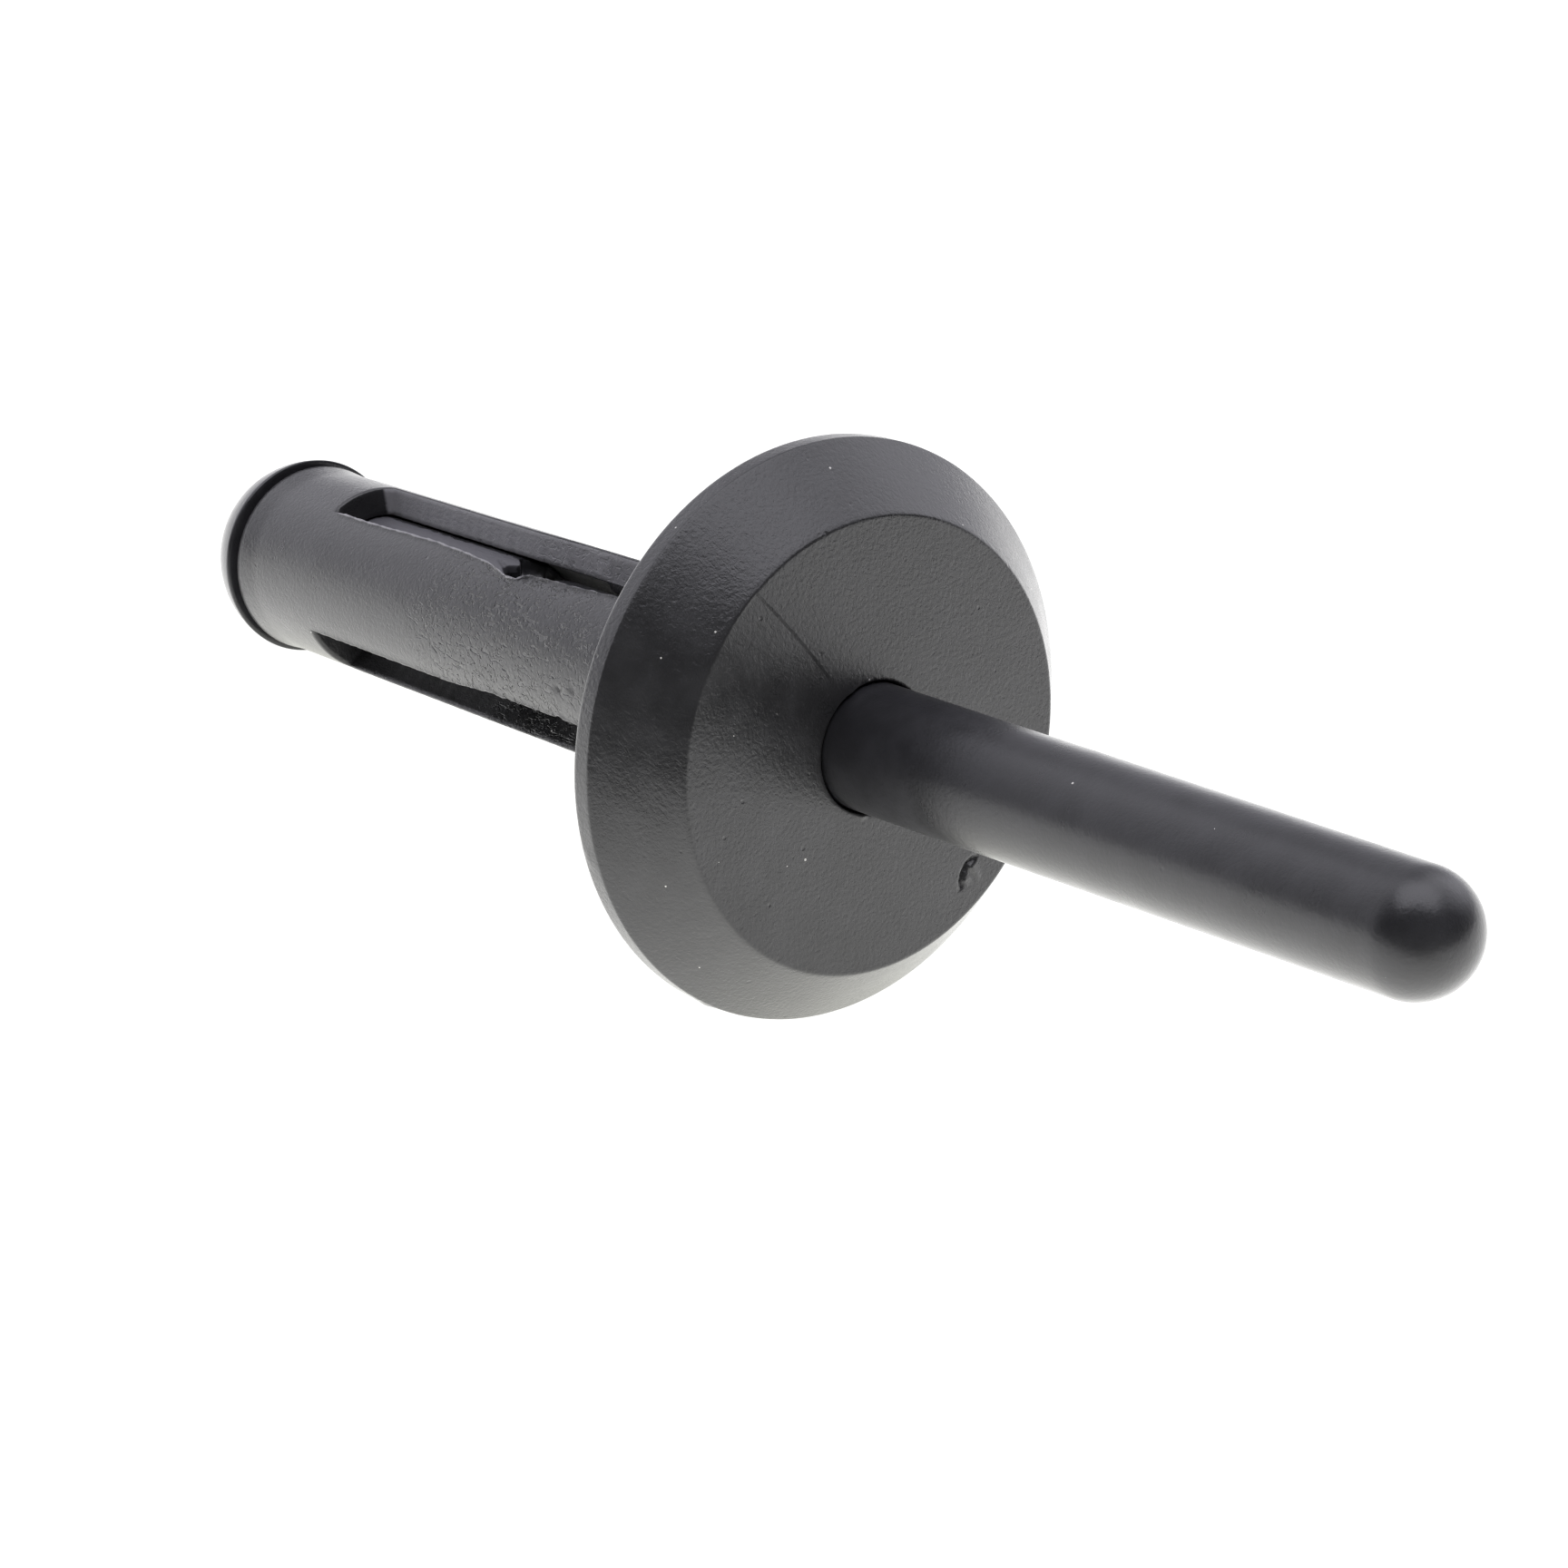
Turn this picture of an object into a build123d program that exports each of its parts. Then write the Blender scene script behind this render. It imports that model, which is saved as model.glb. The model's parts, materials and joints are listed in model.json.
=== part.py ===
from build123d import *
import math
import os

# Blind rivet retainer, as supplied and not yet set: a slotted nylon sleeve with a wide bevelled
# flange, threaded on the one-piece mandrel that sets it.
# Both pieces are drawn upright on one axis. Z = 0 is the underside of the flange, the stem points
# up (+Z) and the nose points down. lay_down() then tips them over as the retainer comes to rest,
# on the rim of the flange and the dome of the nose. All sizes are in millimetres.

# Mandrel: pulling stem, break neck, body and domed head, moulded in one
STEM_RADIUS = 1.9          # where the stem passes through the flange
STEM_TIP_RADIUS = 1.75     # where the drafted stem meets its rounded end
STEM_REACH = 22.5          # from the face of the flange to the end of the stem
STEM_TIP_ROUND = 1.65      # length of the rounded end, a cap of a sphere
BREAK_NECK_RADIUS = 1.25
BREAK_NECK_LENGTH = 7.2
SHOULDER_STEP = 0.27       # the body of the mandrel is this much larger in radius than the stem
SHOULDER_BEVEL = 0.2
HEAD_OVERHANG = 0.18       # the head is this much larger in radius than the shank
HEAD_BEVEL = 0.15          # front edge of the head, against the collar
HEAD_SIDE = 0.35           # from the collar to the dome, the bevel included
HEAD_DOME = 2.95           # length of the dome beyond that, a cap of a sphere

# Clearances between the two pieces, in radius
STEM_CLEARANCE = 0.07
BODY_CLEARANCE = 0.12

# Sleeve: bevelled flange
FACE_RADIUS = 6.8          # flat front face, out to its crease
BEVEL_RUN = 1.9            # from the crease out to the rim
BEVEL_DROP = 2.05
RIM_HEIGHT = 0.65          # upright side of the rim
RIM_ROUND = 0.12           # front edge of the rim

# Sleeve: slotted shank
LEG_WALL = 0.91            # wall around the bore where the legs begin
LEG_DRAFT = 0.04           # loss in radius from there to the collar, so that the mould lets go
SHANK_LENGTH = 27.9        # from the underside of the flange to the end of the collar
THROAT_DEPTH = 11.3        # the bore is narrow from the face to this far behind the flange
THROAT_ROUND = 0.3         # rounded inner corner where the bore widens
SET_TRAVEL = 3.9           # gap between the mandrel's shoulder and the throat
FLARE = 0.07               # growth in radius at the very end of the collar
FLARE_LENGTH = 1.0

# Sleeve: lengthwise slots, which leave the legs that fold out when the rivet is set
SLOT_COUNT = 3
SOLID_NECK = 2.5           # unslotted length under the flange
COLLAR_LENGTH = 4.25       # unslotted length at the nose
SLOT_WIDTH = 2.06          # at the nose
SLOT_WIDENING = 0.34       # the slots are this much wider near the flange
WIDE_SLOT_DEPTH = 12.8     # they are wide down to this far behind the flange
SLOT_TAPER = 2.3           # and narrow over this length
SLOT_AZIMUTH = 5.5         # first slot, in degrees from the top of the retainer as it lies

# A moulding flaw: a nick in the edge of one leg, beside the first slot
NICK_DEPTH = 0.2
NICK_LENGTH = 2.4
NICK_STEP = 0.25           # length of its steep end, the end nearer the flange
NICK_START = 12.2          # that end lies this far behind the flange

# Sizes that follow from the ones above
flange_height = RIM_HEIGHT + BEVEL_DROP
flange_radius = FACE_RADIUS + BEVEL_RUN
throat_radius = STEM_RADIUS + STEM_CLEARANCE
body_radius = STEM_RADIUS + SHOULDER_STEP
bore_radius = body_radius + BODY_CLEARANCE
shank_radius = bore_radius + LEG_WALL
nose_radius = shank_radius - LEG_DRAFT
head_radius = shank_radius + HEAD_OVERHANG
shank_end = -SHANK_LENGTH
dome_base = shank_end - HEAD_SIDE
slot_edge = SLOT_WIDTH / 2
wide_slot_edge = slot_edge + SLOT_WIDENING / 2
shoulder = -THROAT_DEPTH - SET_TRAVEL
stem_end = flange_height + STEM_REACH


def sphere_radius(base_radius, height):
    """Radius of the sphere whose cap has this base radius and this height."""
    return (base_radius ** 2 + height ** 2) / (2 * height)


def revolve_outline(outline):
    """Turn a closed outline, drawn as (radius, height), into a solid about the Z axis."""
    return revolve(Plane.XZ * outline, Axis.Z)


def rounded_corner(face, radius_height, radius):
    """Round the corner of a drawn face that lies nearest to the point (radius, height)."""
    corner = face.vertices().sort_by_distance(Vector(*radius_height, 0))[0]
    return fillet(corner, radius)


def blank_sleeve():
    """Flange, shank and stepped bore in one outline."""
    face = make_face(Polyline(
        (throat_radius, flange_height),
        (FACE_RADIUS, flange_height),
        (flange_radius, RIM_HEIGHT),
        (flange_radius, 0),
        (shank_radius, 0),
        (shank_radius, -SOLID_NECK),
        (nose_radius, shank_end + FLARE_LENGTH),
        (nose_radius + FLARE, shank_end),
        (bore_radius, shank_end),
        (bore_radius, -THROAT_DEPTH),
        (throat_radius, -THROAT_DEPTH),
        close=True,
    ))
    face = rounded_corner(face, (flange_radius, RIM_HEIGHT), RIM_ROUND)
    face = rounded_corner(face, (bore_radius, -THROAT_DEPTH), THROAT_ROUND)
    return revolve_outline(face)


def through_wall(outline):
    """Cut tool for one side of the shank, from an outline drawn as (sideways, height)."""
    return extrude(Plane.YZ * outline, shank_radius + FLARE + LEG_WALL)


def slot_cut():
    """One slot: square ends, wide near the flange and narrower towards the nose."""
    side = [
        (wide_slot_edge, -SOLID_NECK),
        (wide_slot_edge, -WIDE_SLOT_DEPTH),
        (slot_edge, -WIDE_SLOT_DEPTH - SLOT_TAPER),
        (slot_edge, shank_end + COLLAR_LENGTH),
    ]
    other_side = [(-across, height) for across, height in reversed(side)]
    return through_wall(make_face(Polyline(*side, *other_side, close=True)))


def nick_cut():
    """Shallow ramp into the edge of a leg, ending in a steep step towards the flange."""
    ramp = Polyline(
        (0, -NICK_START),
        (wide_slot_edge, -NICK_START),
        (wide_slot_edge + NICK_DEPTH, -NICK_START - NICK_STEP),
        (slot_edge, -NICK_START - NICK_LENGTH),
        (0, -NICK_START - NICK_LENGTH),
        close=True,
    )
    return through_wall(make_face(ramp))


def make_sleeve():
    sleeve = blank_sleeve()
    for index in range(SLOT_COUNT):
        turn = Rot(Z=SLOT_AZIMUTH + index * 360 / SLOT_COUNT)
        sleeve -= turn * slot_cut()
    return sleeve - Rot(Z=SLOT_AZIMUTH) * nick_cut()


def make_mandrel():
    """Head dome, body in the bore, break neck, then the drafted stem with its rounded end."""
    neck_start = shoulder + SHOULDER_BEVEL
    neck_end = neck_start + BREAK_NECK_LENGTH
    stem_start = neck_end + STEM_RADIUS - BREAK_NECK_RADIUS
    tip_base = stem_end - STEM_TIP_ROUND
    nose_end = dome_base - HEAD_DOME
    nose_sphere = sphere_radius(head_radius, HEAD_DOME)
    tip_sphere = sphere_radius(STEM_TIP_RADIUS, STEM_TIP_ROUND)
    nose = RadiusArc((0, nose_end), (head_radius, dome_base), -nose_sphere)
    tip = RadiusArc((STEM_TIP_RADIUS, tip_base), (0, stem_end), -tip_sphere)
    side = Polyline(
        (head_radius, dome_base),
        (head_radius, shank_end - HEAD_BEVEL),
        (head_radius - HEAD_BEVEL, shank_end),
        (body_radius, shank_end),
        (body_radius, shoulder - SHOULDER_BEVEL),
        (body_radius - SHOULDER_BEVEL, shoulder),
        (BREAK_NECK_RADIUS, neck_start),
        (BREAK_NECK_RADIUS, neck_end),
        (STEM_RADIUS, stem_start),
        (STEM_RADIUS, flange_height),
        (STEM_TIP_RADIUS, tip_base),
    )
    axis_line = Line((0, stem_end), (0, nose_end))
    return revolve_outline(make_face(nose + side + tip + axis_line))


def resting_tilt():
    """Angle of the axis when the rim and the dome touch the same level surface, in radians.

    They touch it together when flange_radius * cos(angle) = reach * sin(angle) + dome, where dome
    is the radius of the nose sphere and reach is how far its centre lies behind the flange.
    """
    dome = sphere_radius(head_radius, HEAD_DOME)
    reach = HEAD_DOME - dome - dome_base
    return math.acos(dome / math.hypot(flange_radius, reach)) - math.atan2(reach, flange_radius)


def lay_down(pieces):
    """Tip the upright pieces over, then centre them over the origin with their lowest point at 0."""
    tilt = resting_tilt()
    lying = Plane(
        origin=(0, 0, 0),
        x_dir=(-math.sin(tilt), 0, math.cos(tilt)),
        z_dir=(math.cos(tilt), 0, math.sin(tilt)),
    ).location
    size = Compound([lying * piece for piece in pieces]).bounding_box()
    middle = size.center()
    place = Pos(-middle.X, -middle.Y, flange_radius * math.cos(tilt)) * lying
    return [place * piece for piece in pieces]


sleeve, mandrel = lay_down([make_sleeve(), make_mandrel()])

os.makedirs("parts", exist_ok=True)
export_step(sleeve, "parts/sleeve.step")
export_step(mandrel, "parts/mandrel.step")
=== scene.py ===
import json
import math

import bmesh
import bpy
import numpy as np
from mathutils import Matrix, Vector


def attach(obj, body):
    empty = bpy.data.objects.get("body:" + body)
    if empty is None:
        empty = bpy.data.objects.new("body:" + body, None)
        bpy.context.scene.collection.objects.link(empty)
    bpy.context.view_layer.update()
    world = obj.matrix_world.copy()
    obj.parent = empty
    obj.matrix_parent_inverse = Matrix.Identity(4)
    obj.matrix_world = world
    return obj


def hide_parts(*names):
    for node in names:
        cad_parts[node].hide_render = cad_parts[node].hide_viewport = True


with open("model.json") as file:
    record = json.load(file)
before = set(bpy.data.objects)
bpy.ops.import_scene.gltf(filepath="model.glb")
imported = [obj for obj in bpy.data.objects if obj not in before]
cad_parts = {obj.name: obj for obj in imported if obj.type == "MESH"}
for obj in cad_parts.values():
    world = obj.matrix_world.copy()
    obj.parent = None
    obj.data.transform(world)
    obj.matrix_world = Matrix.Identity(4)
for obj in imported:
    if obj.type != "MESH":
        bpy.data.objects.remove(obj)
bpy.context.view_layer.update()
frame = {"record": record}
bpy.context.scene.view_settings.view_transform = "Standard"

# ---------------------------------------------------------------------------------------------
# The sleeve. One injection moulding in black nylon: a round shank whose three lengthwise slots
# leave three legs, and a wide bevelled flange. Setting the rivet folds the legs outwards. The
# mould has left a nick, feathers of flash, a weld line and a gate scar on it.
# ---------------------------------------------------------------------------------------------
MM = 0.001                  # sizes are in mm, and depths count up from the flange's underside to the stem
FACE_EDGE, FLANGE_EDGE = 6.8, 8.7
FLANGE_HEIGHT, RIM_HEIGHT, RIM_ROUND, UNDERSIDE_ROUND = 2.7, 0.65, 0.12, 0.06
SHANK_RADIUS, COLLAR_RADIUS, SHANK_END = 3.2, 3.23, -27.9
THROAT_RADIUS, BORE_RADIUS = 1.97, 2.23
THROAT_END, THROAT_ROUND = -11.3, 0.3
SLOT_TOP, SLOT_BOTTOM = -2.5, -23.65
SLOT_ANGLES = np.radians([5.5, 125.5, 245.5])
SOFT_EDGE = 0.04            # how far the moulded edges are rounded
SOFT_INNER_EDGE = SOFT_EDGE * 0.7
FAR_WALL_LEAN = 0.32        # the far wall of the first slot leans out by this much at its edge
FRAYING = 0.035             # how far the inner edges of the slots waver

# The mesh of the shank: columns across a slot and a leg, rings down a slot's wall, rows along the slots
SLOT_COLUMNS, LEG_COLUMNS, WALL_RINGS = 10, 38, 6
ROW_PITCH, ROW_CLEARANCE = 0.15, 0.08

# Half widths of the slots, as (depth, half width). One edge of the first slot narrows, then has the nick.
SLOT_EDGE = ((-15.1, 1.03), (-12.8, 1.2))
NICKED_EDGE = ((-21, 1.07), (-19.2, 1.02), (-17.4, 0.99), (-16.2, 1.03), (-15.2, 1.07), (-14.3, 1.14),
               (-13.45, 1.29), (-12.9, 1.39), (-12.4, 1.38), (-12.2, 1.18), (-11.9, 1.10), (-11.3, 1.08),
               (-9.4, 1.02), (-7.8, 0.92))

# The second slot has a notch in one edge, and that edge wavers most in its middle.
NOTCH_PLACE, NOTCH_DEPTH, NOTCH_REACH = -8.9, 0.1, 0.16
NOTCHED_EDGE_WAVERS = ((-14, 0.4), (-13.2, 1.6), (-12, 1.6), (-11.4, 0.4))

# The axis of the sleeve as it lies, from its shank mount: x is its top, z runs towards the stem.
shank = next(m for m in frame["record"]["mounts"] if m["name"] == "shank")
along = -Vector(shank["axis"]).normalized()
top = (Vector((0, 0, 1)) - along * along.z).normalized()
lying = Matrix((top, along.cross(top), along)).transposed()
flange_centre = Vector(shank["pos_m"]) + along * shank["dims"]["length_mm"] * MM / 2


def read_off(table, place):
    """Read a value off a table of (place, value) pairs."""
    return np.interp(place, *zip(*table))


def swelling(away, reach):
    """A rounded swelling, 1 high in its middle."""
    return np.exp(-(away / reach) ** 2)


def ripple(x, seed, pitch):
    """A smooth wavering between -1 and 1."""
    waves = np.random.default_rng(seed).uniform(0, 2 * math.pi, 5)
    return sum(np.sin(x * 2 * math.pi / pitch * (1 + 0.83 * i) + w) / (1 + 0.7 * i)
               for i, w in enumerate(waves)) / 2.4


def shank_outline(depth):
    """Radius of the outside of the shank."""
    radii = ((SHANK_END, COLLAR_RADIUS), (SHANK_END + 1, 3.16), (SLOT_TOP, SHANK_RADIUS), (0, SHANK_RADIUS))
    return read_off(radii, depth)


def bore_outline(depth):
    """Radius of the bore, with the rounded step where the throat opens into it."""
    into_round = np.clip((THROAT_END - depth) / THROAT_ROUND, 0, 1)
    rounded = BORE_RADIUS - THROAT_ROUND * (1 - np.sqrt(1 - (1 - into_round) ** 2))
    return np.where(depth > THROAT_END, THROAT_RADIUS, rounded)


def slot_half_width(slot, side, depth, inwards=0.0):
    """How far the edge of a leg stands from the middle plane of its slot; inwards is 1 at the bore."""
    frayed = FRAYING * inwards * ripple(depth, seed=61 + slot * 2 + side, pitch=0.62)
    width = read_off(NICKED_EDGE if (slot, side) == (0, 1) else SLOT_EDGE, depth) - frayed
    if (slot, side) == (0, 1):
        return width + 0.016 * ripple(depth, seed=3, pitch=1.7)
    if (slot, side) == (0, -1):
        width = width + (1 - inwards) * FAR_WALL_LEAN
    if (slot, side) == (1, -1):
        width = width + NOTCH_DEPTH * swelling(depth - NOTCH_PLACE, NOTCH_REACH)
        return width + 0.02 * ripple(depth, seed=5, pitch=1.1) * read_off(NOTCHED_EDGE_WAVERS, depth)
    return width + 0.007 * ripple(depth, seed=11 + slot * 2 + side, pitch=1.5)


def eased(count, edge):
    """Fractions from 0 to 1 whose first and last steps are short, for the edges of a leg."""
    near = np.array([0, 0.09, 0.22, 0.5, 1.0]) * edge
    middle = np.linspace(edge, 1 - edge, count - 7)[1:-1]
    return np.concatenate([near, middle, 1 - near[::-1]])


def column_angles(depth, radius, outer):
    """Angles of all the columns round the shank at one depth."""
    inset, inwards = (SOFT_EDGE, 0.0) if outer else (SOFT_INNER_EDGE, 1.0)
    slots = []
    for slot, middle in enumerate(SLOT_ANGLES):
        low, high = (slot_half_width(slot, side, depth, inwards) + inset for side in (-1, 1))
        slots.append(middle + np.arcsin(np.linspace(-low, high, SLOT_COLUMNS + 1) / radius))
    angles = []
    for slot in range(3):
        start = slots[slot][-1]
        end = slots[(slot + 1) % 3][0] + (2 * math.pi if slot == 2 else 0)
        angles += [slots[slot], (start + (end - start) * eased(LEG_COLUMNS, 0.09))[1:-1]]
    return np.concatenate(angles)


class Sheet:
    """A mesh drawn flat, as (angle, radius, depth), before it is rolled up round its axis."""

    def __init__(self):
        self.points, self.faces = [], []

    def row(self, angles, radii, depths):
        """Add a row of points, and give back their numbers."""
        first = len(self.points)
        self.points += list(zip(*np.broadcast_arrays(angles, radii, depths)))
        return np.arange(first, len(self.points))

    def band(self, low, high, skip=()):
        """Faces between two rows of the same length, closed into a ring."""
        for i in range(len(low)):
            if i not in skip:
                j = (i + 1) % len(low)
                self.faces.append((low[i], low[j], high[j], high[i]))

    def bands(self, rows):
        """Faces between each row and the next."""
        for low, high in zip(rows, rows[1:]):
            self.band(low, high)

    def doubling_band(self, low, high):
        """Faces between a row and one that has twice as many columns."""
        for i in range(len(low)):
            j = (i + 1) % len(low)
            self.faces.append((low[i], low[j], high[2 * j], high[2 * i + 1], high[2 * i]))

    def mesh(self, name):
        made = bpy.data.meshes.new(name)
        made.from_pydata([tuple(map(float, p)) for p in self.points], [],
                         [tuple(map(int, f)) for f in self.faces])
        return made


# Feathers of flash stand up along the edges of the slots: their height by slot and side. Past the nick
# the flash is a thin ledge that lies a little below the leg, as (depth, width).
FEATHERS = {(0, 1): 0.095, (1, -1): 0.04, (0, -1): 0.012, (1, 1): 0.012, (2, 1): 0.012, (2, -1): 0.012}
FEATHER_REACH, FEATHER_ENDS = 0.045, 0.4
LEDGE_WIDTHS, LEDGE_DROP = ((-12.3, 0), (-12.0, 0.27), (-9, 0.2), (-7, 0.14)), 0.035

# Two pinholes where the moulding did not fill, as (degrees, depth)
PINHOLES = ((84.5, -8.74), (81.5, -7.96))
PINHOLE_DEPTH, PINHOLE_RADIUS = 0.12, 0.085


def skin_lift(angles, radius, depth):
    """How far the skin of the shank stands out, or in where it is below 0."""
    lift = np.zeros_like(angles)
    fading = read_off(((SLOT_BOTTOM, 0), (SLOT_BOTTOM + FEATHER_ENDS, 1), (SLOT_TOP - FEATHER_ENDS, 1),
                       (SLOT_TOP, 0)), depth)
    for (slot, side), height in FEATHERS.items():
        half_width = slot_half_width(slot, side, depth) + SOFT_EDGE
        edge = SLOT_ANGLES[slot] + side * math.asin(half_width / radius)
        away = np.angle(np.exp(1j * (angles - edge))) * radius
        feather = height * (0.7 + 0.35 * ripple(depth, seed=20 + slot * 2 + side, pitch=0.83))
        lift += feather * swelling(away, FEATHER_REACH) * fading
        if (slot, side) == (0, 1):
            ledge = read_off(LEDGE_WIDTHS, depth)
            lift -= LEDGE_DROP * (away > -0.1) * (away < ledge) * (ledge > 0)
    for angle, place in PINHOLES:
        away = np.hypot((angles - math.radians(angle)) * radius, depth - place)
        lift -= PINHOLE_DEPTH * swelling(away, PINHOLE_RADIUS)
    return lift


sleeve_sheet = Sheet()
third = SLOT_COLUMNS + LEG_COLUMNS      # columns from one slot to the next
slot_cells = [slot * third + c for slot in range(3) for c in range(SLOT_COLUMNS)]

# Shank: outside and bore share the depths of their rows, so that the slot walls can join them.
collar_rows = np.linspace(SHANK_END + SOFT_EDGE, SLOT_BOTTOM - SOFT_EDGE, 24)
window_rows = np.linspace(SLOT_BOTTOM, SLOT_TOP, round((SLOT_TOP - SLOT_BOTTOM) / ROW_PITCH))[1:-1]
step_rows = THROAT_END - THROAT_ROUND * np.array([-0.03, 0.03, 0.1, 0.25, 0.5, 0.8])
window_rows = window_rows[(window_rows > step_rows[0] + ROW_CLEARANCE)
                          | (window_rows < step_rows[-1] - ROW_CLEARANCE)]
window_rows = np.sort(np.concatenate([window_rows, step_rows]))
neck_rows = np.linspace(SLOT_TOP + SOFT_EDGE, 0, 17)
shank_rows = np.concatenate([collar_rows, window_rows, neck_rows])
window_first, window_last = len(collar_rows) - 1, len(collar_rows) + len(window_rows)

outside, bore = [], []
for depth in shank_rows:
    outer, inner = shank_outline(depth), float(bore_outline(depth))
    angles = column_angles(depth, outer, True)
    outside.append(sleeve_sheet.row(angles, outer + skin_lift(angles, outer, depth), depth))
    bore.append(sleeve_sheet.row(column_angles(depth, inner, False), inner, depth))

for i in range(len(shank_rows) - 1):
    skip = slot_cells if window_first <= i < window_last else ()
    sleeve_sheet.band(outside[i], outside[i + 1], skip)
    sleeve_sheet.band(bore[i], bore[i + 1], skip)

# Slot walls: flat cuts with parallel sides, from the outside of the shank down to its bore.
for slot, middle in enumerate(SLOT_ANGLES):
    low, high = slot * third, slot * third + SLOT_COLUMNS
    rows = range(window_first, window_last + 1)
    loop = ([(r, high) for r in rows] + [(window_last, c) for c in range(high - 1, low, -1)]
            + [(r, low) for r in reversed(rows)] + [(window_first, c) for c in range(low + 1, high)])
    rings = [[outside[r][c] for r, c in loop]]
    for inwards in np.linspace(0, 1, WALL_RINGS + 1):
        ring = []
        for r, c in loop:
            depth = min(max(shank_rows[r], SLOT_BOTTOM), SLOT_TOP)
            outer = shank_outline(depth) - SOFT_EDGE
            inner = float(bore_outline(depth)) + SOFT_INNER_EDGE
            radius = outer + (inner - outer) * inwards
            left, right = (slot_half_width(slot, side, depth, inwards) for side in (-1, 1))
            sideways = -left + (left + right) * (c - low) / SLOT_COLUMNS
            ring.append((middle + math.asin(sideways / radius), radius, depth))
        rings.append(sleeve_sheet.row(*np.array(ring).T))
    rings.append([bore[r][c] for r, c in loop])
    sleeve_sheet.bands(rings)

# Collar end, then the bore's mouth. Its columns are spread as at a radius of 2.3 or more.
collar_end = [outside[0]]
for radius in np.linspace(COLLAR_RADIUS - SOFT_EDGE, BORE_RADIUS + SOFT_EDGE, 6):
    collar_end.append(sleeve_sheet.row(column_angles(SHANK_END, max(radius, 2.3), True), radius, SHANK_END))
sleeve_sheet.bands(collar_end + [bore[0]])


def doubled(angles):
    """The same angles with one more halfway after each."""
    following = np.append(angles[1:], angles[0] + 2 * math.pi)
    return np.stack([angles, (angles + following) / 2], 1).ravel()


# Flange: underside, rim, bevel and face in one run of rings with twice the columns
root_angles = column_angles(0, SHANK_RADIUS, True)
wide_angles = doubled(root_angles)
bevel_slope = math.atan2(FLANGE_HEIGHT - RIM_HEIGHT, FLANGE_EDGE - FACE_EDGE)
rim_turn = math.pi / 2 - bevel_slope
rim_top = RIM_HEIGHT - RIM_ROUND * math.tan(rim_turn / 2)
profile = [(r, 0.0) for r in np.linspace(3.35, FLANGE_EDGE - UNDERSIDE_ROUND, 22)]
profile += [(FLANGE_EDGE - UNDERSIDE_ROUND / 4, UNDERSIDE_ROUND / 4), (FLANGE_EDGE, UNDERSIDE_ROUND)]
profile += [(FLANGE_EDGE, z) for z in np.linspace(0.15, rim_top, 4)]
profile += [(FLANGE_EDGE - RIM_ROUND * (1 - math.cos(t)), rim_top + RIM_ROUND * math.sin(t))
            for t in np.linspace(0, rim_turn, 5)[1:]]
start, end = profile[-1], (FACE_EDGE + 0.03, FLANGE_HEIGHT - 0.035)
profile += [(start[0] + (end[0] - start[0]) * t, start[1] + (end[1] - start[1]) * t)
            for t in np.linspace(0, 1, 22)[1:]]
profile += [(FACE_EDGE - 0.015, FLANGE_HEIGHT - 0.004)]
face_from = len(profile)
profile += [(r, FLANGE_HEIGHT) for r in np.linspace(FACE_EDGE - 0.07, 5.35, 32)]
profile += [(r, FLANGE_HEIGHT) for r in np.linspace(5.25, THROAT_RADIUS + 0.5, 26)]

# The gate was snapped off along an arc on the face, and left a groove with a torn patch beside it. The
# columns are drawn together round its angle.
GATE_ANGLE, GATE_PULL, GATE_SPREAD = math.radians(-150), 0.66, math.radians(9)
GATE_ARC = np.array([(-4.62, -3.24), (-4.66, -3.08), (-4.73, -2.90), (-4.93, -2.72), (-5.15, -2.62),
                     (-5.34, -2.60)])
GATE_DEPTH, GATE_REACH = 0.15, 0.07
TORN_REACH, TORN_HEIGHT, TORN_CREASES = 0.75, 0.03, 0.06
gate_line = np.concatenate([np.linspace(p, q, 12) for p, q in zip(GATE_ARC, GATE_ARC[1:])])
gate_depth = GATE_DEPTH * np.sin(np.linspace(0.12, 1, len(gate_line)) * math.pi * 0.93) ** 0.5

# The weld line is a low step. The columns beside it stand this many of its widths away from it.
WELD_ANGLE, WELD_SLANT, WELD_WIDTH, WELD_STEP = math.radians(27.4), math.radians(1.04), 0.04, 0.02
WELD_COLUMNS = {-2: -3.0, -1: -1.0, 1: 1.0, 2: 2.0, 3: 5.0}
weld_column = int(np.argmin(np.abs(wide_angles - WELD_ANGLE)))


def drawn_in(away, pull, spread):
    """Angles drawn together round zero, so that the columns stand closer there."""
    return away * (1 + pull * spread / math.pi) - pull * spread * np.tanh(away / spread)


def turned(angles, radius, share):
    """Columns drawn together round the gate scar, and laid along the slanting weld line."""
    away = (angles - GATE_ANGLE + math.pi) % (2 * math.pi) - math.pi
    near_gate = share * np.interp(radius, [2.6, 4.6], [0, 1])
    slant = (radius - THROAT_RADIUS - 0.5) * WELD_SLANT * share
    along_weld = swelling(angles - angles[weld_column], 0.2)
    moved = angles + (drawn_in(away, GATE_PULL, GATE_SPREAD) - away) * near_gate + slant * along_weld
    step = min(share, np.interp(radius, [2.5, 2.8], [0, 1]))
    for column, beside in WELD_COLUMNS.items():
        at = moved[weld_column] + beside * WELD_WIDTH / radius
        moved[weld_column + column] += (at - moved[weld_column + column]) * step
    return moved, step


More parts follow.
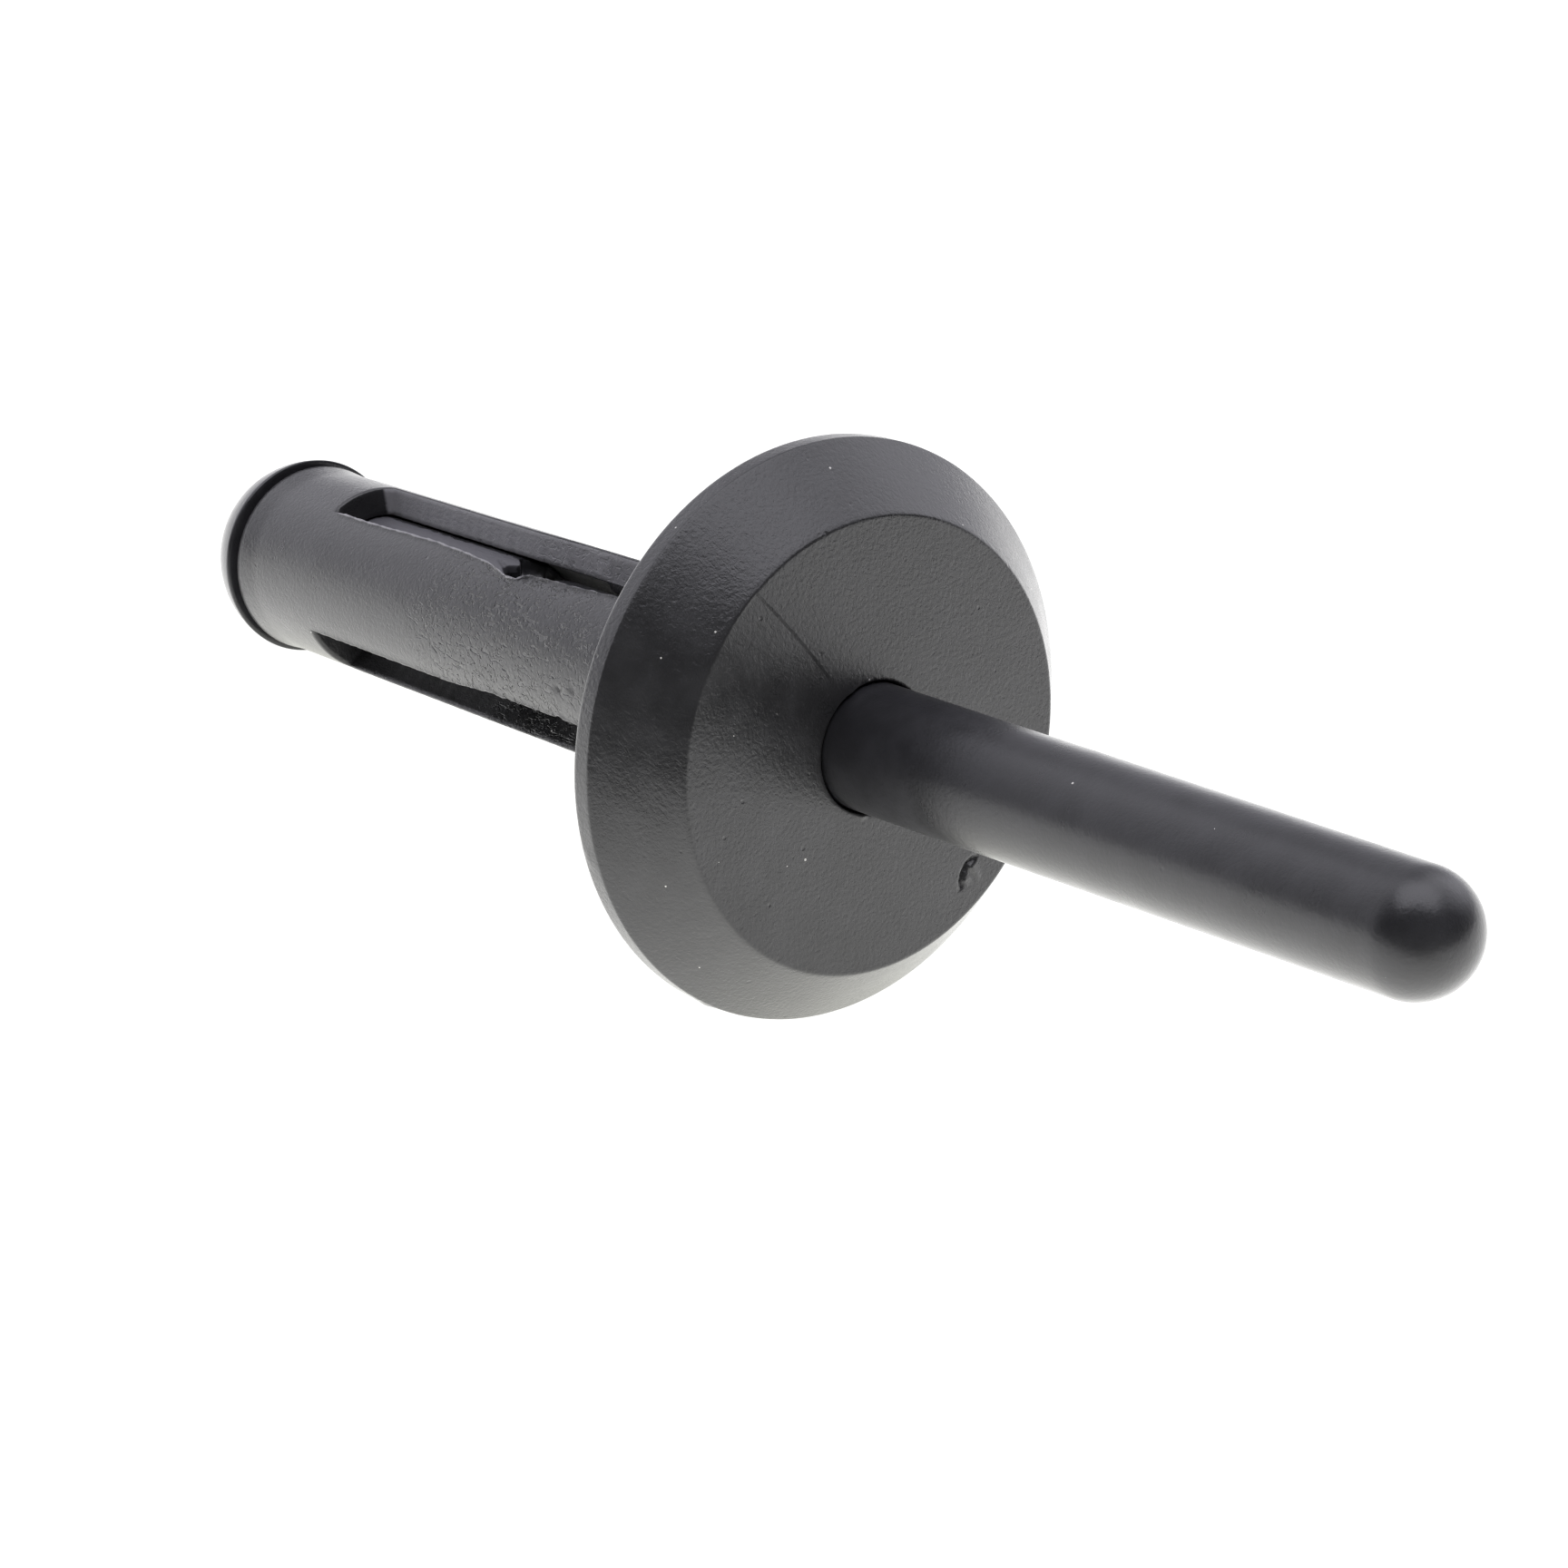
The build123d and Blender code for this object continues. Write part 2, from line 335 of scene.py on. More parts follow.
def face_relief(angles, radius, step):
    """Height of the weld line, the gate's groove and its torn patch above the face."""
    past_weld = (angles - angles[weld_column] + math.pi) % (2 * math.pi) - math.pi
    relief = -WELD_STEP * step * (past_weld > 1e-6) * swelling(past_weld * radius, 1.6)
    place = np.stack([radius * np.cos(angles), radius * np.sin(angles)], 1)
    away = np.linalg.norm(place[:, None] - gate_line[None], axis=2)
    nearest, on_arc = away.min(1), away.argmin(1)
    outwards = np.einsum("ij,ij->i", place - gate_line[on_arc], place) > 0
    tapered = np.interp(on_arc / (len(gate_line) - 1), [0, 0.12, 0.8, 0.98], [0, 1, 1, 0])
    torn = outwards * swelling(nearest, TORN_REACH) * tapered
    creases = ripple(place[:, 0] * 0.9 - place[:, 1] * 1.4, seed=71, pitch=0.9)
    inside_face = np.interp(radius, [6.45, 6.73], [1, 0])
    relief -= gate_depth[on_arc] * swelling(nearest, GATE_REACH)
    relief += torn * (TORN_HEIGHT + TORN_CREASES * creases) * np.clip(nearest / 0.12, 0, 1) * inside_face
    return relief


# Two nubs of flash stand on the rim where the halves of the mould met.
NUB_ANGLES, NUB_HEIGHT, NUB_REACH = np.radians([96.6, 141.3]), 0.05, 0.16

rings = []
for i, (radius, depth) in enumerate(profile):
    share = np.interp(i, [face_from - 20, face_from], [0, 1])
    angles, step = turned(wide_angles, radius, share)
    relief = face_relief(angles, radius, step) if i >= face_from else 0
    nubs = sum(swelling((angles - at) * FLANGE_EDGE, NUB_REACH) for at in NUB_ANGLES)
    on_rim = np.interp(depth, [0.05, 0.2, 0.4, 0.6], [0, 1, 1, 0]) * (radius > FLANGE_EDGE - 0.05)
    rings.append(sleeve_sheet.row(angles, radius + NUB_HEIGHT * nubs * on_rim, depth + relief))
sleeve_sheet.doubling_band(outside[-1], rings[0])
sleeve_sheet.bands(rings)

# Slivers of flash stand up on the mouth of the hole: their place and width in degrees, and their size.
SLIVERS = [(18, 5, 1.0), (159, 3, 0.8), (210, 6, 0.35)]
slivers = sum(size * swelling(np.degrees(root_angles) % 360 - at, width) for at, width, size in SLIVERS)

# Rings of the mouth: how far out from the throat, how far below the face, and the height of the slivers
MOUTH = [(0.38, 0, 0), (0.25, 0, 0), (0.15, 0, 0), (0.09, 0.003, 0.06), (0.05, 0.01, 0.07), (0.02, 0.03, 0)]
mouth = [sleeve_sheet.row(root_angles, THROAT_RADIUS + out, FLANGE_HEIGHT - below + height * slivers)
         for out, below, height in MOUTH]
throat_rows = np.linspace(FLANGE_HEIGHT - 0.09, 0.15, 12)
mouth += [sleeve_sheet.row(root_angles, THROAT_RADIUS, depth) for depth in throat_rows]
sleeve_sheet.doubling_band(mouth[0], rings[-1])
sleeve_sheet.bands(mouth + [bore[-1]])


def add(tree, kind, **settings):
    """Add a node to a tree; a setting whose name is an input's name fills that input."""
    node = tree.nodes.new(kind)
    for key, value in settings.items():
        if hasattr(node, key):
            setattr(node, key, value)
        else:
            node.inputs[key].default_value = value
    return node


def wire(tree, *links):
    """Link each output to the input paired with it."""
    for source, target in links:
        tree.links.new(source, target)


def fill(tree, socket, value):
    """Give an input a number, or link it to an output."""
    if isinstance(value, (int, float)):
        socket.default_value = value
    else:
        tree.links.new(value, socket)


def formula(tree, operation, *values):
    """A Math node on outputs and numbers."""
    node = add(tree, "ShaderNodeMath", operation=operation)
    for socket, value in zip(node.inputs, values):
        fill(tree, socket, value)
    return node.outputs[0]


def plus(tree, one, other):
    return formula(tree, "ADD", one, other)


def minus(tree, one, other):
    return formula(tree, "SUBTRACT", one, other)


def times(tree, one, other):
    return formula(tree, "MULTIPLY", one, other)


def rolling_tree():
    """Geometry Nodes that roll a flat sheet up round the retainer's axis, then uneven its skin."""
    tree = bpy.data.node_groups.new("roll_up_on_axis", "GeometryNodeTree")
    sockets = {}
    for name, kind in (("Sheet", "Geometry"), ("Lying", "Rotation"), ("Flange Centre", "Vector"),
                       ("Unevenness", "Float"), ("Uneven Size", "Float"), ("Finish", "Material")):
        sockets[name] = tree.interface.new_socket(name, in_out="INPUT", socket_type="NodeSocket" + kind)
    tree.interface.new_socket("Piece", in_out="OUTPUT", socket_type="NodeSocketGeometry")
    given, made = add(tree, "NodeGroupInput").outputs, add(tree, "NodeGroupOutput").inputs

    flat, together = add(tree, "ShaderNodeSeparateXYZ"), add(tree, "ShaderNodeCombineXYZ")
    rolled = add(tree, "GeometryNodeSetPosition")
    angle, radius, depth = flat.outputs
    radius = times(tree, radius, MM)
    wire(tree, (add(tree, "GeometryNodeInputPosition").outputs[0], flat.inputs[0]),
         (times(tree, formula(tree, "COSINE", angle), radius), together.inputs[0]),
         (times(tree, formula(tree, "SINE", angle), radius), together.inputs[1]),
         (times(tree, depth, MM), together.inputs[2]),
         (given["Sheet"], rolled.inputs["Geometry"]), (together.outputs[0], rolled.inputs["Position"]))

    noise = add(tree, "ShaderNodeTexNoise", Detail=2.0)
    offset = add(tree, "ShaderNodeVectorMath", operation="SCALE")
    uneven = add(tree, "GeometryNodeSetPosition")
    wire(tree, (formula(tree, "DIVIDE", 1.0, given["Uneven Size"]), noise.inputs["Scale"]),
         (add(tree, "GeometryNodeInputNormal").outputs[0], offset.inputs[0]),
         (times(tree, minus(tree, noise.outputs[0], 0.5), given["Unevenness"]), offset.inputs["Scale"]),
         (rolled.outputs[0], uneven.inputs["Geometry"]), (offset.outputs[0], uneven.inputs["Offset"]))

    laid = add(tree, "GeometryNodeTransform")
    real = add(tree, "GeometryNodeRealizeInstances")
    finish = add(tree, "GeometryNodeSetMaterial")
    wire(tree, (uneven.outputs[0], laid.inputs["Geometry"]), (given["Lying"], laid.inputs["Rotation"]),
         (given["Flange Centre"], laid.inputs["Translation"]), (laid.outputs[0], real.inputs[0]),
         (real.outputs[0], finish.inputs["Geometry"]), (given["Finish"], finish.inputs["Material"]),
         (finish.outputs[0], made["Piece"]))
    return tree, sockets


roll_up, roll_up_inputs = rolling_tree()


def rolled_piece(name, sheet, finish, unevenness, uneven_size):
    """Roll a sheet up with the tree, and keep the result as a plain mesh."""
    flat = bpy.data.objects.new(name + "_flat", sheet.mesh(name + "_flat"))
    bpy.context.scene.collection.objects.link(flat)
    rolling = flat.modifiers.new("roll up", "NODES")
    rolling.node_group = roll_up
    for socket, value in (("Lying", lying.to_euler()), ("Flange Centre", flange_centre),
                          ("Unevenness", unevenness), ("Uneven Size", uneven_size), ("Finish", finish)):
        rolling[roll_up_inputs[socket].identifier] = value
    graph = bpy.context.evaluated_depsgraph_get()
    made = bpy.data.meshes.new_from_object(flat.evaluated_get(graph))
    bpy.data.objects.remove(flat)
    shape = bmesh.new()
    shape.from_mesh(made)
    bmesh.ops.recalc_face_normals(shape, faces=shape.faces)
    shape.to_mesh(made)
    shape.free()
    made.shade_smooth()
    made.name = name
    piece = bpy.data.objects.new(name, made)
    bpy.context.scene.collection.objects.link(piece)
    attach(piece, "root")
    return piece


def stepped(tree, value, low, high):
    """Fraction from 0 at low to 1 at high."""
    node = add(tree, "ShaderNodeMapRange", interpolation_type="SMOOTHSTEP")
    fill(tree, node.inputs["From Min"], low)
    fill(tree, node.inputs["From Max"], high)
    tree.links.new(value, node.inputs["Value"])
    return node.outputs["Result"]


def effect(name, takes, gives):
    """An empty shader node group with named inputs and outputs, for one surface effect."""
    group = bpy.data.node_groups.new(name, "ShaderNodeTree")
    for socket, value in takes.items():
        kind = "NodeSocketVector" if isinstance(value, tuple) else "NodeSocketFloat"
        group.interface.new_socket(socket, in_out="INPUT", socket_type=kind).default_value = value
    for socket in gives:
        group.interface.new_socket(socket, in_out="OUTPUT", socket_type="NodeSocketFloat")
    return group, add(group, "NodeGroupInput").outputs, add(group, "NodeGroupOutput").inputs


def scaled(tree, place, size, turn=(0, 0, 0), stretch=(1, 1, 1)):
    """Place divided by a size, turned, then stretched."""
    shrunk = add(tree, "ShaderNodeVectorMath", operation="SCALE")
    turned_place = add(tree, "ShaderNodeMapping", vector_type="TEXTURE", Rotation=turn,
                       Scale=tuple(1 / s for s in stretch))
    wire(tree, (place, shrunk.inputs[0]), (formula(tree, "DIVIDE", 1.0, size), shrunk.inputs["Scale"]),
         (shrunk.outputs[0], turned_place.inputs["Vector"]))
    return turned_place.outputs[0]


def noise_on(tree, place, **settings):
    """A noise texture on a place that is already scaled."""
    noise = add(tree, "ShaderNodeTexNoise", Scale=1.0, **settings)
    tree.links.new(place, noise.inputs["Vector"])
    return noise.outputs[0]


def cells_on(tree, place):
    """Voronoi cells on a scaled place: distance to the cell's point, and two random numbers of the cell."""
    cells, chances = add(tree, "ShaderNodeTexVoronoi", Scale=1.0), add(tree, "ShaderNodeSeparateColor")
    wire(tree, (place, cells.inputs["Vector"]), (cells.outputs["Color"], chances.inputs[0]))
    return cells.outputs["Distance"], chances.outputs[0], chances.outputs[1]


def from_axis(tree, place):
    """Distance of a place on the piece from the retainer's axis, and its depth along the axis."""
    apart = add(tree, "ShaderNodeSeparateXYZ")
    tree.links.new(place, apart.inputs[0])
    x, y, z = apart.outputs
    return formula(tree, "SQRT", plus(tree, times(tree, x, x), times(tree, y, y))), z


# The fine etched grain that the mould gives the nylon, with pits where it did not fill
grain, given, made = effect("moulded_grain", {
    "Place": (0, 0, 0), "Grain Size": 0.2, "Pit Size": 0.5, "Pit Share": 0.2}, ("Height", "Mottle"))
fine = noise_on(grain, scaled(grain, given["Place"], given["Grain Size"]), Detail=3.0, Roughness=0.62)
mottle = noise_on(grain, scaled(grain, given["Place"], times(grain, given["Grain Size"], 9.0)), Detail=2.0)
distance, chance, _ = cells_on(grain, scaled(grain, given["Place"], given["Pit Size"]))
pits = times(grain, minus(grain, 1.0, stepped(grain, distance, 0.06, 0.2)),
             formula(grain, "LESS_THAN", chance, given["Pit Share"]))
wire(grain, (minus(grain, minus(grain, fine, 0.5), times(grain, pits, 0.7)), made["Height"]),
     (mottle, made["Mottle"]))

# Short rubs and scratches from handling, strongest round one place on the piece. They run three ways:
# how each set is turned, and how far its noise is moved aside.
STROKES = (((0.0, 0.6, 0.3), 0.0), ((0.2, 1.5, -0.3), 7.3), ((-0.3, 2.5, 0.3), 15.1))
scuffs, given, made = effect("handling_scuffs", {
    "Place": (0, 0, 0), "Scuff Size": 0.6, "Worn Place": (0, 0, 0), "Worn Reach": 5.0, "Everywhere": 0.2},
    ("Scuffs", "Height", "Worn"))
strokes = 0.0
for turn, aside in STROKES:
    moved = add(scuffs, "ShaderNodeVectorMath", operation="ADD")
    moved.inputs[1].default_value = (aside, aside, 0)
    tilted = scaled(scuffs, given["Place"], given["Scuff Size"], turn, (1.1, 4.0, 4.0))
    scuffs.links.new(tilted, moved.inputs[0])
    lines = noise_on(scuffs, moved.outputs[0], Detail=2.0, Distortion=0.4)
    strokes = formula(scuffs, "MAXIMUM", strokes, stepped(scuffs, lines, 0.60, 0.67))
away = add(scuffs, "ShaderNodeVectorMath", operation="DISTANCE")
wire(scuffs, (given["Place"], away.inputs[0]), (given["Worn Place"], away.inputs[1]))
worn = minus(scuffs, 1.0, stepped(scuffs, away.outputs["Value"], 0.0, given["Worn Reach"]))
worn = formula(scuffs, "MAXIMUM", worn, given["Everywhere"])
strokes = times(scuffs, strokes, worn)
wire(scuffs, (strokes, made["Scuffs"]), (times(scuffs, strokes, -1.0), made["Height"]),
     (worn, made["Worn"]))

# Pale specks of dust
dust, given, made = effect("dust_specks", {
    "Place": (0, 0, 0), "Spacing": 0.8, "Speck Size": 0.03, "Share": 0.3}, ("Specks",))
distance, chance, size = cells_on(dust, scaled(dust, given["Place"], given["Spacing"]))
reach = formula(dust, "DIVIDE", times(dust, given["Speck Size"], plus(dust, size, 0.4)), given["Spacing"])
wire(dust, (times(dust, formula(dust, "LESS_THAN", distance, reach),
                  formula(dust, "LESS_THAN", chance, given["Share"])), made["Specks"]))

# A patch of the skin between two corners and two radii: painted light, a lighter colour for walls the light
# catches
patch, given, made = effect("painted_light_area", {
    "Place": (0, 0, 0), "From": (0, 0, 0), "To": (1, 1, 1), "Least Radius": 0.0, "Radius": 3.13,
    "Waver": 0.0, "Edge": 0.15}, ("Patch",))
past_from, before_to = (add(patch, "ShaderNodeVectorMath", operation="SUBTRACT") for _ in range(2))
both = add(patch, "ShaderNodeVectorMath", operation="MINIMUM")
sides = add(patch, "ShaderNodeSeparateXYZ")
wire(patch, (given["Place"], past_from.inputs[0]), (given["From"], past_from.inputs[1]),
     (given["To"], before_to.inputs[0]), (given["Place"], before_to.inputs[1]),
     (past_from.outputs[0], both.inputs[0]), (before_to.outputs[0], both.inputs[1]),
     (both.outputs[0], sides.inputs[0]))
least = formula(patch, "MINIMUM", sides.outputs[0], sides.outputs[1])
least = formula(patch, "MINIMUM", least, sides.outputs[2])
ragged = noise_on(patch, scaled(patch, given["Place"], 0.4), Detail=2.0)
least = plus(patch, least, times(patch, minus(patch, ragged, 0.5), given["Waver"]))
radius, _ = from_axis(patch, given["Place"])
between = times(patch, formula(patch, "LESS_THAN", radius, given["Radius"]),
                formula(patch, "GREATER_THAN", radius, given["Least Radius"]))
wire(patch, (times(patch, stepped(patch, least, 0.0, given["Edge"]), between), made["Patch"]))

# Painted highlight on the feathers of flash: a pale colour on what stands up from the drafted skin
flash, given, made = effect("flash_painted_highlight", {
    "Place": (0, 0, 0), "Skin Radius": 3.22, "Draft": 0.00164, "Begins": -23.7, "Ends": -8.0}, ("Flash",))
radius, depth = from_axis(flash, given["Place"])
above = minus(flash, minus(flash, radius, given["Skin Radius"]), times(flash, depth, given["Draft"]))
past_begin = formula(flash, "GREATER_THAN", depth, given["Begins"])
before_end = formula(flash, "LESS_THAN", depth, given["Ends"])
raised = times(flash, stepped(flash, above, 0.0, 0.03), past_begin)
wire(flash, (times(flash, raised, before_end), made["Flash"]))


def placed(tree, group, place, **values):
    """One of the effects, put on the piece's own place with its own values."""
    node = add(tree, "ShaderNodeGroup")
    node.node_tree = group
    for name, value in values.items():
        node.inputs[name.replace("_", " ")].default_value = value
    tree.links.new(place, node.inputs["Place"])
    return node.outputs


def blended(tree, share, one, other):
    """Blend from one colour to another by a mask."""
    node = add(tree, "ShaderNodeMix", data_type="RGBA")
    tree.links.new(share, node.inputs[0])
    for socket, colour in ((node.inputs[6], one), (node.inputs[7], other)):
        if isinstance(colour, tuple):
            socket.default_value = (*colour, 1)
        else:
            tree.links.new(colour, socket)
    return node.outputs[2]


def finish_named(name):
    """A new material, with its tree and its Principled shader."""
    material = bpy.data.materials.new(name)
    material.use_nodes = True
    return material, material.node_tree, material.node_tree.nodes["Principled BSDF"]


NYLON_ROUGHNESS = 0.30
SCUFF_GREY, SCUFF_STRENGTH = (0.10, 0.10, 0.10), 0.45
# The flash colour is a painted highlight; the dust colour is the dust's own.
FLASH_PAINTED_HIGHLIGHT, DUST_PALE = (0.25, 0.245, 0.26), (0.62, 0.61, 0.58)


def nylon(name, black, painted_light, painted_light_from, painted_light_to, painted_light_radii, painted_light_edge, worn_place, worn_reach,
          grain_depth, scuff_depth, pit_share, dust_share, flash_radius, matt_within):
    """Black nylon: matt-etched moulded skin, pits, scuffs, dust, a patch of painted light, painted
    highlights on flash.
    """
    material, tree, shader = finish_named(name)
    where = add(tree, "ShaderNodeTexCoord")
    on_piece = add(tree, "ShaderNodeMapping", vector_type="TEXTURE", Location=flange_centre,
                   Rotation=lying.to_euler(), Scale=(MM, MM, MM))
    tree.links.new(where.outputs["Object"], on_piece.inputs["Vector"])
    place = on_piece.outputs[0]
    skin = placed(tree, grain, place, Grain_Size=0.13, Pit_Size=0.42, Pit_Share=pit_share)
    rubs = placed(tree, scuffs, place, Scuff_Size=0.6, Worn_Place=worn_place, Worn_Reach=worn_reach,
                  Everywhere=0.02)
    specks = placed(tree, dust, place, Spacing=0.5, Speck_Size=0.028, Share=dust_share)["Specks"]
    # The patch lightens the colour as painted light, and makes the skin rougher there.
    painted_light_patch = placed(tree, patch, place, From=painted_light_from, To=painted_light_to, Least_Radius=painted_light_radii[0],
                  Radius=painted_light_radii[1], Waver=painted_light_edge[0], Edge=painted_light_edge[1])["Patch"]
    # The flash mask picks out where the pale painted highlight goes.
    flash_highlight = placed(tree, flash, place, Skin_Radius=flash_radius)["Flash"]

    lighter = tuple(c * 1.5 for c in black)
    colour = blended(tree, stepped(tree, skin["Mottle"], 0.3, 0.75), black, lighter)
    colour = blended(tree, painted_light_patch, colour, painted_light)
    colour = blended(tree, times(tree, rubs["Scuffs"], SCUFF_STRENGTH), colour, SCUFF_GREY)
    colour = blended(tree, flash_highlight, colour, FLASH_PAINTED_HIGHLIGHT)
    colour = blended(tree, specks, colour, DUST_PALE)

    # The bore behind the flange is more matt than the outside.
    radius, depth = from_axis(tree, place)
    in_bore = formula(tree, "LESS_THAN", radius, matt_within)
    matt = times(tree, in_bore, formula(tree, "LESS_THAN", depth, 0.0))
    rough = plus(tree, NYLON_ROUGHNESS, times(tree, minus(tree, skin["Mottle"], 0.5), 0.14))
    rough = plus(tree, rough, plus(tree, times(tree, painted_light_patch, 0.3), times(tree, matt, 0.6)))
    coarser = times(tree, plus(tree, times(tree, rubs["Worn"], 0.5), 1.2), grain_depth)
    height = plus(tree, times(tree, skin["Height"], coarser), times(tree, rubs["Height"], scuff_depth))
    bump = add(tree, "ShaderNodeBump", Distance=MM)
    wire(tree, (height, bump.inputs["Height"]), (bump.outputs[0], shader.inputs["Normal"]),
         (colour, shader.inputs["Base Color"]), (rough, shader.inputs["Roughness"]))
    return material


# Its patch of painted light lightens the far wall of the first slot to a lit tone.
sleeve_finish = nylon(
    "black_nylon_sleeve", black=(0.020, 0.020, 0.021), painted_light=(0.28, 0.277, 0.287),
    painted_light_from=(1.7, -1.6, -23.8), painted_light_to=(3.3, -0.55, -2.4), painted_light_radii=(2.25, 3.13),
    painted_light_edge=(0.0, 0.15), worn_place=(0.8, 3.1, -12.0), worn_reach=6.0, grain_depth=0.014,
    scuff_depth=0.11, pit_share=0.06, dust_share=0.16, flash_radius=3.222, matt_within=2.25)
sleeve = rolled_piece("retainer_sleeve", sleeve_sheet, sleeve_finish, unevenness=0.012 * MM,
                      uneven_size=1.6 * MM)
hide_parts("sleeve")

# ---------------------------------------------------------------------------------------------
# The mandrel. One injection moulding in the same nylon, pushed through the sleeve from its nose:
# a domed head, a body that fills the bore, a thin neck made to break, and the drafted stem.
# ---------------------------------------------------------------------------------------------
HEAD_RADIUS, BODY_RADIUS, STEM_RADIUS, STEM_TIP_RADIUS, NECK_RADIUS = 3.38, 2.17, 1.9, 1.75, 1.25
DOME_BASE, DOME_LENGTH = -28.25, 2.95
GROOVE_RADIUS = 2.92        # of the open groove between the head and the sleeve's collar
SHOULDER, NECK_END = -15.2, -14.0
STEM_END, TIP_ROUND = 25.2, 1.65
MANDREL_COLUMNS = 180


def cap(base_radius, height, count):
    """Points of a cap of a sphere from its base to its pole, as (radius, height)."""
    sphere = (base_radius ** 2 + height ** 2) / (2 * height)
    widest = math.asin(base_radius / sphere)
    if height > sphere:
        widest = math.pi - widest
    return [(sphere * math.sin(t), height - sphere + sphere * math.cos(t))
            for t in np.linspace(widest, 0, count)]


def run(start, end, pitch):
    """Evenly spaced points from one (radius, depth) to another."""
    count = max(2, round(math.dist(start, end) / pitch) + 1)
    start, end = np.array(start), np.array(end)
    return [tuple(start + (end - start) * t) for t in np.linspace(0, 1, count)]


mandrel_profile = [(r, DOME_BASE - z) for r, z in reversed(cap(HEAD_RADIUS, DOME_LENGTH, 30))][1:-1]
mandrel_profile += [(HEAD_RADIUS, DOME_BASE)]
for start, end, pitch in (
        # the head's flat back, the groove, and the collar's end
        ((HEAD_RADIUS - 0.03, DOME_BASE + 0.025), (GROOVE_RADIUS + 0.03, DOME_BASE + 0.025), 0.1),
        ((GROOVE_RADIUS, DOME_BASE + 0.05), (GROOVE_RADIUS, SHANK_END - 0.03), 0.1),
        ((GROOVE_RADIUS - 0.03, SHANK_END), (BODY_RADIUS + 0.05, SHANK_END), 0.15),
        # the body, with close rows where it tore, and its shoulder
        ((BODY_RADIUS, SHANK_END + 0.05), (BODY_RADIUS, SHOULDER - 1.3), 0.2),
        ((BODY_RADIUS, SHOULDER - 1.25), (BODY_RADIUS, SHOULDER - 0.05), 0.04),
        ((BODY_RADIUS - 0.03, SHOULDER), (BODY_RADIUS - 0.2, SHOULDER + 0.02), 0.06),
        ((BODY_RADIUS - 0.3, SHOULDER), (NECK_RADIUS, SHOULDER + 0.2), 0.15),
        # the neck, then the stem, which is drafted from the flange's face to its end
        ((NECK_RADIUS, SHOULDER + 0.3), (NECK_RADIUS, NECK_END), 0.2),
        ((NECK_RADIUS + 0.05, NECK_END + 0.05), (STEM_RADIUS - 0.03, NECK_END + 0.62), 0.1),
        ((STEM_RADIUS, NECK_END + 0.7), (STEM_RADIUS, FLANGE_HEIGHT - 0.1), 0.2),
        ((STEM_RADIUS, FLANGE_HEIGHT), (STEM_TIP_RADIUS, STEM_END - TIP_ROUND), 0.2)):
    mandrel_profile += run(start, end, pitch)
mandrel_profile += [(r, STEM_END - TIP_ROUND + z) for r, z in cap(STEM_TIP_RADIUS, TIP_ROUND, 20)][1:-1]

# The body tore where it was cut from its runner: its end is ragged, with flakes and a crack beside it.
# TEAR is where the end lies, as (degrees, depth), and so are the crack's two ends.
TEAR = ((-40, -15.3), (-22, -15.9), (-15, -15.7), (-8, -15.25), (-3, -15.0), (0, -15.12), (4, -15.4),
        (8, -15.45), (11, -15.25), (14, -15.0), (30, -15.2))
FLAKE_ANGLE, FLAKE_SPREAD, FLAKE_DEPTH = -8, 12, 0.07
CRACK_FROM, CRACK_TO = np.array([9.0, -15.1]), np.array([-1.0, -16.0])
CRACK_DEPTH, CRACK_SHALLOWING, CRACK_REACH = 0.2, 0.6, 0.07
SKIN_SCALE, SKIN_SCALE_SQUARED = np.array([0.0379, 1]), np.array([0.0014, 1])   # mm to a degree and to a mm
COLUMN_PULL, COLUMN_SPREAD = 0.6, 0.3


def crack_at(degrees, depths):
    """How deep the crack runs into the body's skin, deepest where it starts at the torn end."""
    away, crack = np.stack([degrees, depths], 1) - CRACK_FROM, CRACK_TO - CRACK_FROM
    share = np.clip(away @ (crack * SKIN_SCALE_SQUARED) / (crack ** 2 @ SKIN_SCALE_SQUARED), 0, 1)
    gap = np.linalg.norm((away - share[:, None] * crack) * SKIN_SCALE, axis=1)
    return CRACK_DEPTH * (1 - CRACK_SHALLOWING * share) * swelling(gap, CRACK_REACH)


mandrel_sheet = Sheet()
even_angles = np.linspace(-math.pi, math.pi, MANDREL_COLUMNS, endpoint=False)
mandrel_angles = drawn_in(even_angles, COLUMN_PULL, COLUMN_SPREAD)
degrees = np.degrees(mandrel_angles)
tear = read_off(TEAR, degrees) - SHOULDER + 0.05 * ripple(mandrel_angles * 3, seed=41, pitch=1.1)
rings = []
for radius, depth in mandrel_profile:
    near_shoulder = [SHOULDER - 1.3, SHOULDER - 0.05, SHOULDER + 0.1, SHOULDER + 0.25]
    ragged = tear * np.interp(depth, near_shoulder, [0, 1, 1, 0])
    relief = 0.0
    if abs(radius - BODY_RADIUS) < 0.01:
        flakes = swelling(degrees - FLAKE_ANGLE, FLAKE_SPREAD) * np.interp(depth, [-17.8, -16.8], [0.25, 1])
        flaking = np.abs(ripple(depth + mandrel_angles * 2, seed=43, pitch=0.55))
        relief = -FLAKE_DEPTH * flakes * flaking - crack_at(degrees, depth + ragged)
    rings.append(mandrel_sheet.row(mandrel_angles, radius + relief, depth + ragged))
mandrel_sheet.bands(rings)
for ring, depth in ((rings[0], DOME_BASE - DOME_LENGTH), (rings[-1], STEM_END)):
    pole = mandrel_sheet.row([0.0], [0.0], [depth])[0]
    for i in range(MANDREL_COLUMNS):
        mandrel_sheet.faces.append((ring[i], ring[(i + 1) % MANDREL_COLUMNS], pole))
